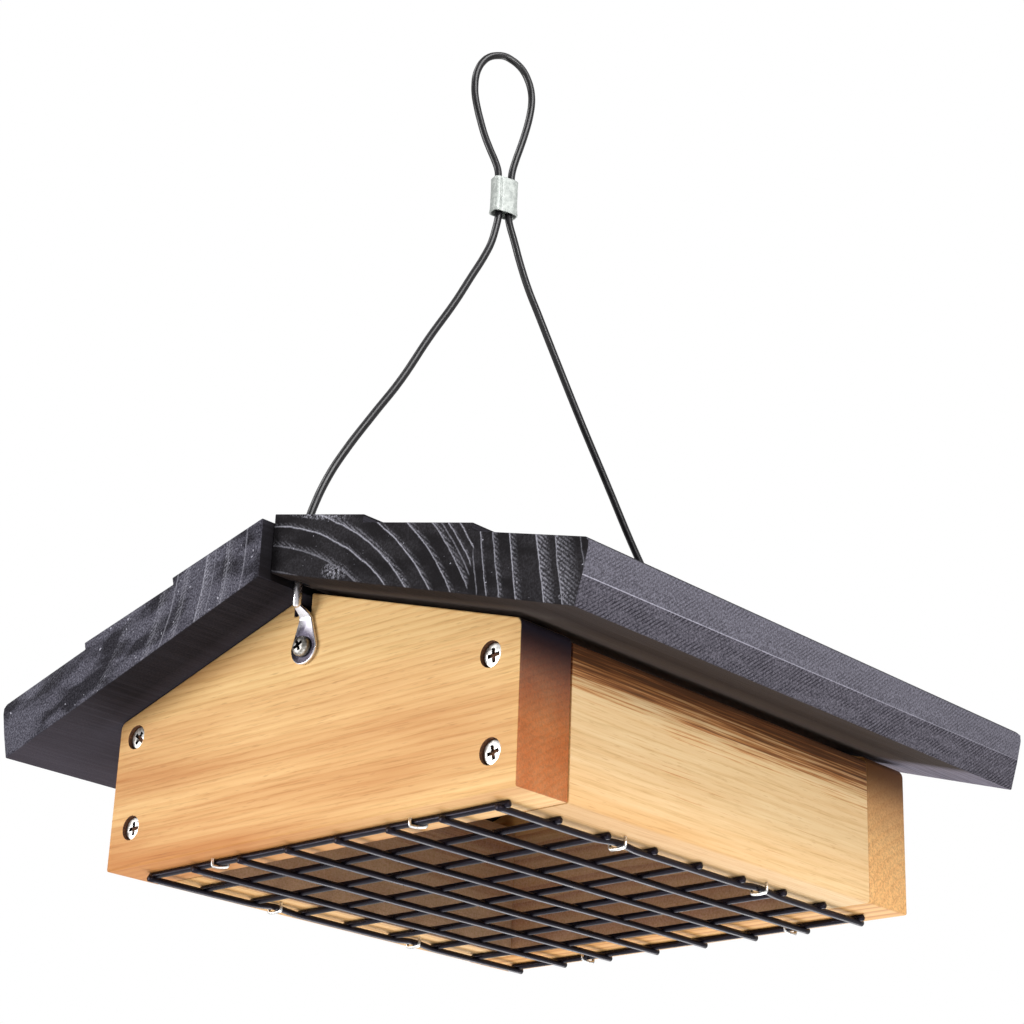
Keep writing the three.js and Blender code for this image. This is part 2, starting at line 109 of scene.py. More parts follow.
def feed(socket, value):
    if isinstance(value, bpy.types.Node):
        value = value.outputs[0]
    if isinstance(value, bpy.types.NodeSocket):
        socket.id_data.links.new(value, socket)
    else:
        socket.default_value = linear(value) if isinstance(value, str) else value


# Adds one node. A word after its kind is its operation, bare values go to its sockets in their
# own order, a name with a capital is a socket and one without is a setting, a text is a colour,
# and "stops" are those of a colour ramp
def add_node(owner, kind, *values, stops=(), **named):
    kind, _, operation = kind.partition(" ")
    node = owner.node_tree.nodes.new("ShaderNode" + kind)
    if operation:
        node.operation = operation
    sockets = dict(enumerate(values))
    for name, value in named.items():
        if name[0].islower():
            setattr(node, name, value)
        else:
            sockets[name.replace("_", " ")] = value
    for index, (position, colour) in enumerate(stops):
        elements = node.color_ramp.elements
        element = elements[index] if index < len(elements) else elements.new(position)
        element.position = position
        element.color = linear(colour) if isinstance(colour, str) else [colour] * 3 + [1]
    for name, value in sockets.items():
        feed(node.inputs[name], value)
    return node


def dress(shader, **sockets):
    for name, value in sockets.items():
        feed(shader.inputs[name.replace("_", " ")], value)


def start_material(name, roughness=0.5, metallic=0, **sockets):
    material = bpy.data.materials.new(name)
    material.use_nodes = True
    shader = material.node_tree.nodes["Principled BSDF"]
    dress(shader, Roughness=roughness, Metallic=metallic, **sockets)
    return material, shader, partial(add_node, material)


# Both cedars are drawn in millimetres along their grain, so the scale of a noise is how many of
# its grains lie in a millimetre. A wave of scale 1 has a band every 0.314 mm
band_gap = 0.314


# Western red cedar, planed and oiled: warm honey wood with faint brown lines of late wood a few
# millimetres apart, silky fibres along the board, and deeper, speckled end grain whose top is
# darkened as painted shade from the roof. Inside the bay the walls are mixed toward a grey brown
# as painted shade, and the top of a board gets brown streaks mixed with painted shade from the
# roof
def cedar(name, along, pith, spacing, early, late, flush, end_tone, end_top_shade_tone, top_streak_shade=0):
    material, shader, node = start_material(name, 0.62, Specular_IOR_Level=0.3)
    turned = along == "y"
    place_on = node("TexCoord").outputs["Object"]
    grain, square = (
        node("Mapping", place_on, middle, (0, 0, turn), (MM, MM, MM), vector_type="TEXTURE")
        for turn in (math.pi / 2 * turned, 0))
    sway, broad, fibre, dash, stain = (
        node("TexNoise", node("Mapping", grain, Scale=(underside_shade_ramp, across, across)), Scale=1,
             Detail=detail, Roughness=rough)
        for underside_shade_ramp, across, detail, rough in (
            (0.007, 0.03, 3, 0.5), (0.006, 0.07, 4, 0.5), (0.05, 1.7, 4, 0.6),
            (0.2, 2.6, 1, 0.5), (0.018, 1.4, 5, 0.6)))
    swayed = node("VectorMath MULTIPLY_ADD", sway.outputs["Color"], (4, 4, 4), grain)
    centred = node("VectorMath SUBTRACT", swayed, (0, pith[0] + 2, pith[1] + 2))
    rings = node("TexWave", centred, Scale=band_gap / spacing, Distortion=1.8, Detail=3,
                 Detail_Scale=0.2, wave_type="RINGS", rings_direction="X",
                 wave_profile="SAW").outputs["Fac"]
    ring_tone = node("ValToRGB", rings, stops=[
        (0, early), (0.45, early), (0.88, late), (0.94, late), (1, early)])
    parts = node("SeparateXYZ", grain).outputs
    lowered = node("Math MULTIPLY_ADD", parts["Z"], -0.005,
                   node("Math MULTIPLY_ADD", parts["X"], -0.0012, broad))
    body = node("MixRGB", node("MapRange", lowered, 0.22, 0.59), ring_tone, flush,
                blend_type="MULTIPLY")
    fibre_tone = node("ValToRGB", fibre, stops=[
        (0.26, "#d9c5a8"), (0.46, "#f8f2e8"), (0.7, "#ffffff")])
    brushed = node("MixRGB", 0.72, body, fibre_tone, blend_type="MULTIPLY")
    pored = node("MixRGB", node("MapRange", dash, 0.64, 0.76, 0, 0.4), brushed, "#b67c46")
    facing = node("VectorMath DOT_PRODUCT", node("NewGeometry").outputs["Normal"],
                  (1 - turned, turned, 0)).outputs["Value"]
    end_share = node("MapRange", node("Math ABSOLUTE", facing), 0.34, 0.62)
    speck = node("TexNoise", grain, Scale=1.6, Detail=3, Roughness=0.7)
    speck_share = node("MapRange", speck, 0.32, 0.62)
    end_dark = [part * 0.5 for part in linear(end_tone)[:3]] + [1]
    end_ringed = node("MixRGB", 0.2, node("MixRGB", speck_share, end_dark, end_tone), pored)
    # The top part of the end grain is darkened toward its last tone as painted shade from the roof
    end_height = node("MapRange", parts["Z"], rail_height * 0.42, rail_height * 0.97)
    end_shaded = node("MixRGB", end_height, end_ringed, end_top_shade_tone)
    grained = node("MixRGB", end_share, pored, end_shaded)
    # Toward the top of the board, brown streaks are mixed with painted shade from the roof
    shade_rise = node("MapRange", parts["Z"], rail_height - 19, rail_height + 3, 0, 0.45)
    streak_shade_share = node("MapRange", node("Math ADD", stain, shade_rise), 0.64, 0.86)
    streak_shade_tone = node("ValToRGB", streak_shade_share, stops=[
        (0, "#ffffff"), (0.35, "#e2b48c"), (0.7, "#a46c4c"), (1, "#6a3d2a")])
    streaked_shaded = node("MixRGB", top_streak_shade, grained, streak_shade_tone, blend_type="MULTIPLY")
    # Inside the bay the wood is mixed toward a speckled grey brown as painted shade
    spot = node("SeparateXYZ", square).outputs
    in_bay = [node("Math LESS_THAN", node("Math ABSOLUTE", spot[name]), limit + 0.2)
              for name, limit in zip("XY", bay_half)]
    bay_shade_height = node("MapRange", spot["Z"], rail_height + 4, rail_height - 8, 0, 0.5)
    bay_painted_shade = node("Math MULTIPLY", node("Math MULTIPLY", *in_bay), bay_shade_height)
    bay_shade_tone = node("MixRGB", speck_share, "#6e5a58", "#b09c9c")
    height = node("Math MULTIPLY_ADD", rings, 0.3, fibre)
    dress(shader, Base_Color=node("MixRGB", bay_painted_shade, streaked_shaded, bay_shade_tone),
          Normal=node("Bump", Height=height, Strength=0.3, Distance=0.12 * MM))
    return material


# A small part's material is one fine noise on the object, "grain" mm across. It colours the
# surface by the stops, "shine" is the range that it gives the roughness, and "bump" the relief
def mottled(name, grain, detail, stops, shine=None, bump=None, uneven=0.5, **sockets):
    material, shader, node = start_material(name, **sockets)
    cloud = node("TexNoise", node("TexCoord").outputs["Object"], Scale=1 / (grain * MM),
                 Detail=detail, Roughness=uneven)
    dress(shader, Base_Color=node("ValToRGB", cloud, stops=stops))
    if shine:
        dress(shader, Roughness=node("MapRange", cloud, *shine))
    if bump:
        dress(shader, Normal=node("Bump", Height=cloud, Strength=bump[0],
                                  Distance=bump[1] * MM))
    return material


# The wall of a screw's bore: cedar torn and scorched by the drill, and darkened to a dark red
# brown as painted shade inside the bore
bore_wall_shade = mottled("bored_cedar_shaded", 0.5, 3, [(0.35, "#3d2418"), (0.7, "#7a4c2c")], roughness=0.9)


def face_out(shape):
    bmesh.ops.recalc_face_normals(shape, faces=shape.faces)


def extrude_along_y(outline, front, back, at=place):
    shape = bmesh.new()
    face = shape.faces.new([shape.verts.new(at(x, front, z)) for x, z in outline])
    grown = bmesh.ops.extrude_face_region(shape, geom=[face])
    moved = [item for item in grown["geom"] if isinstance(item, bmesh.types.BMVert)]
    bmesh.ops.translate(shape, verts=moved, vec=at(0, back, 0) - at(0, front, 0))
    face_out(shape)
    return shape


def ease(shape, width, edges=(), sharper=60):
    edges = edges or [
        edge for edge in shape.edges
        if edge.is_manifold and edge.calc_face_angle() > math.radians(sharper)]
    bmesh.ops.bevel(
        shape, geom=edges, offset=width * MM, affect="EDGES", segments=bevel_steps,
        profile=0.5, material=-1, offset_type="OFFSET", clamp_overlap=True)


def mesh_of(shape, name):
    mesh = bpy.data.meshes.new(name)
    shape.to_mesh(mesh)
    shape.free()
    return mesh


def drill(where, width, depth, sides, turn=0):
    bit = bmesh.new()
    bmesh.ops.create_cone(
        bit, cap_ends=True, segments=sides, radius1=width / 2 * MM, radius2=width / 2 * MM,
        depth=depth * MM, matrix=Matrix.Translation(where) @ Matrix.Rotation(turn, 4, "X"))
    return bit


def cut_from(shape, tools):
    holders = [add_object("cutting", mesh_of(solid, "cutting")) for solid in [shape] + tools]
    meshes = [holder.data for holder in holders]
    for holder in holders[1:]:
        modifier = holders[0].modifiers.new("cut", "BOOLEAN")
        modifier.operation = "DIFFERENCE"
        modifier.solver = "EXACT"
        modifier.object = holder
    bpy.context.view_layer.update()
    result = bpy.data.meshes.new_from_object(
        holders[0].evaluated_get(bpy.context.evaluated_depsgraph_get()))
    done = bmesh.new()
    done.from_mesh(result)
    bmesh.ops.remove_doubles(done, verts=done.verts, dist=0.002 * MM)
    for holder in holders:
        bpy.data.objects.remove(holder)
    for mesh in meshes + [result]:
        bpy.data.meshes.remove(mesh)
    return done


def make_piece(name, shape, material, body, nodes, smooth=35, inside=None):
    mesh = mesh_of(shape, name)
    mesh.shade_smooth()
    mesh.set_sharp_from_angle(angle=math.radians(smooth))
    mesh.materials.append(material)
    if inside:
        mesh.materials.append(inside)
    piece = add_object(name, mesh)
    if body:
        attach(piece, body)
    if nodes:
        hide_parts(*nodes)
    return piece


def slope_at(x):
    return peak[1] - abs(x - peak[0]) * math.tan(roof_pitch)


panel_outline = [
    (-half_width, 0), (half_width, 0), (half_width, slope_at(half_width)),
    (notch[1], slope_at(notch[1])), (notch[1], peak[1] - notch[2]),
    (notch[0], peak[1] - notch[2]), (notch[0], slope_at(notch[0])),
    (-half_width, slope_at(-half_width))]
# The last tone of each is what the top of its end grain darkens to, as painted shade from the roof
panel_cedars = {
    "front": cedar("oiled_cedar_front", "x", (-4, -110), 2, "#f8d092", "#f0c182", "#d1ad90",
                   "#af4f16", "#2e2735"),
    "back": cedar("oiled_cedar_back", "x", (100, -20), 3.6, "#f0c78c", "#d09a5e", "#f6e0c0",
                  "#e8b274", "#845836"),
}


def screw_spots(end, side):
    face = -half_depth if end == "front" else half_depth
    return [(side * (bay_half[0] + across * board), face, up * rail_height)
            for across, up in screw_shares[end][side]]


for end, (front, back) in {
        "front": (-half_depth, -bay_half[1]), "back": (bay_half[1], half_depth)}.items():
    panel = extrude_along_y(panel_outline, front, back)
    shoulders = [edge for edge in panel.edges if all(
        abs(abs(vert.co.x - middle.x) - half_width * MM) < 0.01 * MM
        and vert.co.z > middle.z + board * MM for vert in edge.verts)]
    ease(panel, panel_corner, shoulders)
    ease(panel, edge_ease, sharper=40)
    spots = screw_spots(end, -1) + screw_spots(end, 1)
    panel = cut_from(panel, [
        drill(place(*spot), bore_width, 2 * bore_depth, 40, math.pi / 2) for spot in spots])
    # Faces inside the bores take the second material, darkened as painted shade
    for face in panel.faces:
        centre = (face.calc_center_median() - middle) / MM
        sunk = half_depth - abs(centre.y) > 0.1
        if sunk and any(math.hypot(centre.x - x, centre.z - z) < bore_width / 2 + 0.1
                        for x, _, z in spots):
            face.material_index = 1
    make_piece(f"{end}_gable_board", panel, panel_cedars[end], "box", [f"{end}_panel"],
               inside=bore_wall_shade)

# The side rails. Each is a flat cedar board that butts between the panels, a little paler than
# they are, with its outer edges eased
rail_half_length = 65.3
rail_ease = 0.9
# The last two values of each are the tone that the top of its end grain darkens to as painted
# shade, and the share of brown streaks mixed with painted shade along its top
rail_cedars = {
    -1: cedar("oiled_cedar_left_rail", "y", (-60, 55), 3.8, "#eecb98", "#d9b07a",
              "#f6e3c8", "#cf9a5c", "#7a4c2c", 0.5),
    1: cedar("oiled_cedar_right_rail", "y", (-20, 80), 2.2, "#ecce9f", "#e8c796",
             "#f6e6d6", "#cf9a5c", "#7a4c2c", 0.9),
}
for side, name in ((-1, "left"), (1, "right")):
    inner, outer = side * (half_width - board), side * half_width
    rail = extrude_along_y(
        [(inner, 0), (outer, 0), (outer, rail_height), (inner, rail_height)],
        -rail_half_length, rail_half_length)
    outer_edges = [edge for edge in rail.edges
                   if all(abs(vert.co.x - place(outer, 0, 0).x) < 0.01 * MM
                          for vert in edge.verts)
                   and abs(edge.verts[0].co.y - edge.verts[1].co.y) > board * MM]
    ease(rail, rail_ease, outer_edges)
    ease(rail, edge_ease / 2)
    make_piece(f"{name}_side_board", rail, rail_cedars[side], "box", [f"{name}_rail"])

# The grid is a panel of welded steel mesh, cut from a sheet and coated black. Its depth wires
# hang below its cross wires, each crossing is a small weld, handling has bent the wires a little,
# and the staples have pulled the border wires up
wire = 1.9
wire_pitch = 19.05
depth_wires = 8
cross_wires = 9
cross_height = -0.95
depth_height = -2.05
cross_reach = 68.9
depth_reach = 78.5
wire_sway = 0.35
# For each direction that a wire sways in: length of a wave, shift from wire to wire, its salt
sway_waves = ((34, 7.3, 0), (41, 5.1, 20))
wire_cut = {"ease": 0.25, "narrow": 0.7}
staple_places = {
    "front": (1.47, 1.53), "back": (1.6, 1.25), "left": (2.4, 2.54), "right": (2.3, 2.5)}
staple_pull = 0.75
staple_pull_reach = 5
wire_step = 4.76
weld_size = 1.15
weld_height = -1.45
weld_squash = 0.8


def route_along(points, steps, radii=None):
    curve = bpy.data.curves.new("route", "CURVE")
    curve.dimensions = "3D"
    curve.bevel_mode = "ROUND"
    curve.use_fill_caps = True
    spline = curve.splines.new("BEZIER")
    spline.bezier_points.add(len(points) - 1)
    for index, point in enumerate(points):
        knot = spline.bezier_points[index]
        knot.co = point
        knot.handle_left_type = knot.handle_right_type = "AUTO"
        knot.radius = radii[index] if radii else 1
    spline.resolution_u = steps
    return curve


def tube(points, diameter, sides, steps, radii=None):
    curve = route_along(points, steps, radii)
    curve.bevel_depth = diameter / 2 * MM
    curve.bevel_resolution = sides // 2 - 2
    holder = add_object("route", curve)
    bpy.context.view_layer.update()
    shape = bmesh.new()
    mesh = bpy.data.meshes.new_from_object(
        holder.evaluated_get(bpy.context.evaluated_depsgraph_get()))
    shape.from_mesh(mesh)
    bmesh.ops.remove_doubles(shape, verts=shape.verts, dist=0.001 * MM)
    face_out(shape)
    knots = curve.splines[0].bezier_points
    path = []
    for first, second in zip(knots, knots[1:]):
        path += geometry.interpolate_bezier(
            first.co, first.handle_right, second.handle_left, second.co, steps + 1)[:-1]
    path.append(knots[-1].co.copy())
    path = [Vector(point) for point in path]
    bpy.data.objects.remove(holder)
    bpy.data.curves.remove(curve)
    bpy.data.meshes.remove(mesh)
    return shape, path


def add_shape(whole, shape):
    mesh = mesh_of(shape, "part")
    whole.from_mesh(mesh)
    bpy.data.meshes.remove(mesh)


def sway_at(position, wire_index, salt):
    return Vector([noise.noise(Vector((position / length, wire_index * shift, salt + own)))
                   for length, shift, own in sway_waves]) * wire_sway


def staple_stations(border):
    wires = depth_wires if border in ("front", "back") else cross_wires
    reach = (wires - 1) / 2 * wire_pitch
    from_low, from_high = staple_places[border]
    return from_low * wire_pitch - reach, reach - from_high * wire_pitch


def bent_wire(reach, point_at):
    count = round(2 * reach / wire_step)
    stations = [reach * (2 * index / count - 1) for index in range(count + 1)]
    inner = reach - wire_cut["ease"]
    eased = [-reach, -inner] + stations[1:-1] + [inner, reach]
    radii = [wire_cut["narrow"]] + [1] * (len(eased) - 2) + [wire_cut["narrow"]]
    return tube([point_at(station) for station in eased], wire, 12, 2, radii)[0]


grid = bmesh.new()
for index in range(depth_wires):
    across = (index - (depth_wires - 1) / 2) * wire_pitch
    pulled = {0: staple_stations("left"), depth_wires - 1: staple_stations("right")}.get(index, ())

    def depth_point(station, across=across, index=index, pulled=pulled):
        sway = sway_at(station, index, 3)
        pull = sum(staple_pull * math.exp(-((station - spot) / staple_pull_reach) ** 2)
                   for spot in pulled)
        return place(across + sway.x, station, depth_height + 0.5 * sway.y + pull)

    add_shape(grid, bent_wire(depth_reach, depth_point))
for index in range(cross_wires):
    along = (index - (cross_wires - 1) / 2) * wire_pitch

    def cross_point(station, along=along, index=index):
        sway = sway_at(station, index, 57)
        return place(station, along + 0.5 * sway.x, cross_height)

    add_shape(grid, bent_wire(cross_reach, cross_point))
    for column in range(depth_wires):
        across = (column - (depth_wires - 1) / 2) * wire_pitch
        sway = sway_at(along, column, 3)
        bmesh.ops.create_icosphere(
            grid, subdivisions=1, radius=weld_size * MM,
            matrix=Matrix.Translation(place(across + sway.x, along, weld_height))
            @ Matrix.Diagonal((1, 1, weld_squash, 1)))

# Steel wire under a black powder coat: near black with a soft gloss, a faint orange-peel
# surface, and small dull scuffs where the coat was handled
coat, shader, node = start_material(
    "powder_coated_wire", Specular_IOR_Level=0.22, Specular_Tint="#d8d2f4")
on_wire = node("TexCoord").outputs["Object"]
peel, patch = (node("TexNoise", on_wire, Scale=1 / (across * MM), Detail=detail)
               for across, detail in ((0.8, 2), (12, 3)))
dress(shader, Base_Color=node("ValToRGB", patch, stops=[
    (0.3, "#100e13"), (0.6, "#18151c"), (0.8, "#28242d")]),
      Roughness=node("MapRange", patch, 0.3, 0.75, 0.24, 0.38),
      Normal=node("Bump", Height=peel, Strength=0.25, Distance=0.05 * MM))
make_piece("welded_grid", grid, coat, "box", ["wire_grid"], 50)

# The staples hold the grid's border wires to the wood. Each is one bent length of bright steel
# wire whose crown passes under the wire and whose legs are driven into the board
staple_wire = 1
staple_spreads = {"front": 4.2, "back": 5.2, "left": 5.2, "right": 5.2}
staple_skew = {"front": math.radians(46)}
staple_bite = {"front": 0.3}
staple_corner = 0.8
staple_turn = ((0.93, 0.2), (0.7, 0))
staple_leg = 3

# Bright galvanised steel wire: a cool white metal with fine drawing lines and grey bloom
galvanised = mottled(
    "galvanised_staple_wire", 1.4, 3, [(0.3, "#a9a9ad"), (0.55, "#e2e2e0"), (0.8, "#f4f3ee")],
    shine=(0.3, 0.8, 0.22, 0.42), metallic=1)

for border in staple_places:
    on_end = border in ("front", "back")
    sign = -1 if border in ("front", "left") else 1
    edge = sign * ((cross_wires - 1) if on_end else (depth_wires - 1)) / 2 * wire_pitch
    height = cross_height if on_end else depth_height + staple_pull
    crown = height - wire / 2 - staple_wire / 2 + staple_bite.get(border, 0)
    for index, station in enumerate(staple_stations(border)):
        half = staple_spreads[border] / 2
        skew = staple_skew.get(border, 0)
        bend = [(half, staple_leg), (half, 0), (half, crown + staple_corner)] + [
            (half * share, crown + rise) for share, rise in staple_turn]
        outline = [(-across, up) for across, up in bend] + bend[::-1]
        points = [place(station + across * math.sin(skew), edge + across * math.cos(skew), up)
                  if on_end
                  else place(edge + across, station, up) for across, up in outline]
        make_piece(
            f"{border}_staple_{index + 1}", tube(points, staple_wire, 12, 5)[0], galvanised,
            "box", [f"staple_{border}_{index + 1}"], 60)

# The screws are bright zinc-plated steel with a cross recess. Two with flat heads, sunk in their
# bores, hold each end of a rail through the panel. Pan heads hold the lugs and the cleat
flat_profile = [(0, 1), (0.9, 1), (0.97, 0.97), (1, 0.9), (1, 0.8)]
pan_profile = [(0, 1), (0.55, 0.98), (0.8, 0.86), (0.95, 0.62), (1, 0.3), (1, 0)]
recess_half = 0.64
recess_width = 0.18
recess_heart = 0.34
recess_floor = 0.15
recess_taper = 0.55
recess_top = 1.1
recess_rim = 0.93
panel_screw = {"width": 6.5, "height": 2.6, "shank": 4}
screw_sink = 1.1
screw_buried = 3


def cutter(points_low, points_high):
    shape = bmesh.new()
    for point in points_low + points_high:
        shape.verts.new(point)
    bmesh.ops.convex_hull(shape, input=shape.verts)
    return shape


def lathe(shape, outline, centre, steps):
    verts = [shape.verts.new(point) for point in outline]
    edges = [shape.edges.new(pair) for pair in zip(verts, verts[1:])]
    bmesh.ops.spin(shape, geom=verts + edges, cent=centre, axis=(0, 0, 1), angle=2 * math.pi,
                   steps=steps, use_merge=True)


def screw_shape(profile, width, height, shank):
    shape = bmesh.new()
    radius = width / 2 * MM
    outline = [Vector((across * radius, 0, up * height * MM)) for across, up in profile]
    outline += [Vector((across / 2 * MM, 0, -deep * MM))
                for across, deep in ((shank, 0), (shank, screw_buried), (0, screw_buried))]
    lathe(shape, outline, (0, 0, 0), 40)
    bmesh.ops.remove_doubles(shape, verts=shape.verts, dist=0.001 * MM)
    face_out(shape)
    tools = []
    arm = [(x, y) for x in (-recess_half, recess_half) for y in (-recess_width, recess_width)]
    heart = [(recess_heart, 0), (0, recess_heart), (-recess_heart, 0), (0, -recess_heart)]
    for turn, corners in ((0, arm), (math.pi / 2, arm), (0, heart)):
        spin = Matrix.Rotation(turn, 3, "Z")
        tools.append(cutter(
            [spin @ Vector((x * recess_taper, y * recess_taper, 0)) * radius
             + Vector((0, 0, recess_floor * height * MM)) for x, y in corners],
            [spin @ Vector((x, y, 0)) * radius + Vector((0, 0, recess_top * height * MM))
             for x, y in corners]))
    shape = cut_from(shape, tools)
    # Faces in the recess take the second material, which paints the recess's shade
    for face in shape.faces:
        centre = face.calc_center_median()
        if 0 < centre.z < recess_rim * height * MM and centre.xy.length < recess_half * radius:
            face.material_index = 1
    return shape


def set_screw(name, node, shape, where, facing, twist, material, body):
    turn = Vector((0, 0, 1)).rotation_difference(Vector(facing)).to_matrix().to_4x4()
    bmesh.ops.transform(
        shape, verts=shape.verts,
        matrix=Matrix.Translation(where) @ turn @ Matrix.Rotation(math.radians(twist), 4, "Z"))
    make_piece(name, shape, material, body, [node], 30, recess_shade_metal)


# Bright zinc plate on steel: a clear white metal, nearly a mirror, with faint turning marks and
# dull specks
zinc = mottled(
    "zinc_plated_screw", 0.9, 3, [(0.3, "#bdbcba"), (0.5, "#e9e8e4"), (0.75, "#f6f5f1")],
    shine=(0.3, 0.7, 0.26, 0.42), metallic=0.9)

# Inside a recess the head carries its painted shade and some dirt: a dull near-black with brown
# specks
recess_shade_metal = mottled("screw_recess_painted_shade", 0.4, 2, [(0.4, "#0d0b0f"), (0.75, "#2b2524")],
                 roughness=0.7, Specular_IOR_Level=0.2)

screw_twists = iter((0, 52, 12, 5, 35, 70, 5, 50))
for end in ("front", "back"):
    for side, side_name in ((-1, "left"), (1, "right")):
        for level, (x, y, z) in zip(("lower", "upper"), screw_spots(end, side)):
            outward = math.copysign(1, y)
            where = place(x, y - outward * (screw_sink + panel_screw["height"]), z)
            set_screw(f"{end}_{side_name}_{level}_sunk_screw", f"{end}_screw_{side_name}_{level}",
                      screw_shape(flat_profile, **panel_screw), where, (0, outward, 0),
                      next(screw_twists), zinc, "box")

# The roof boards. Each is a cedar board with three steps milled along it to look like courses of
# shingles, sawn plumb at the ridge, bored for the cable near each end, and stained charcoal
roof_length = 195
ridge_x = -2.7
course_thick = 18.4
course_thin = 16.2
eave_thick = 17.1
eave_round = 2.5
eave_facet = [8.3, 0.35]
eave_bend = [0.9, 0.75]
ridge_gap = 0.05
roof_ease = 0.35
cable_hole = 5
hole_reach = 120
hole_y = 88
cable_x = -0.7
hatch_turn = math.radians(66)
saw_turn = math.radians(38)
roof_boards = {
    "left": {"side": -1, "slope": 111.5, "course": 39.3, "lift": 0.3, "front": -101.8},
    "right": {"side": 1, "slope": 114.8, "course": 41.6, "lift": 1.5, "front": -97.5}}


def ridge_at(side):
    lift = roof_boards["left" if side < 0 else "right"]["lift"]
    return place(ridge_x, 0, peak[1] + side * (peak[0] - ridge_x) * math.tan(roof_pitch)
                 + lift / math.cos(roof_pitch))


def roof_point(side):
    turn = Matrix.Rotation(side * roof_pitch, 3, "Y")
    return lambda x, y, z: ridge_at(side) + turn @ (Vector((side * x, y, z)) * MM)


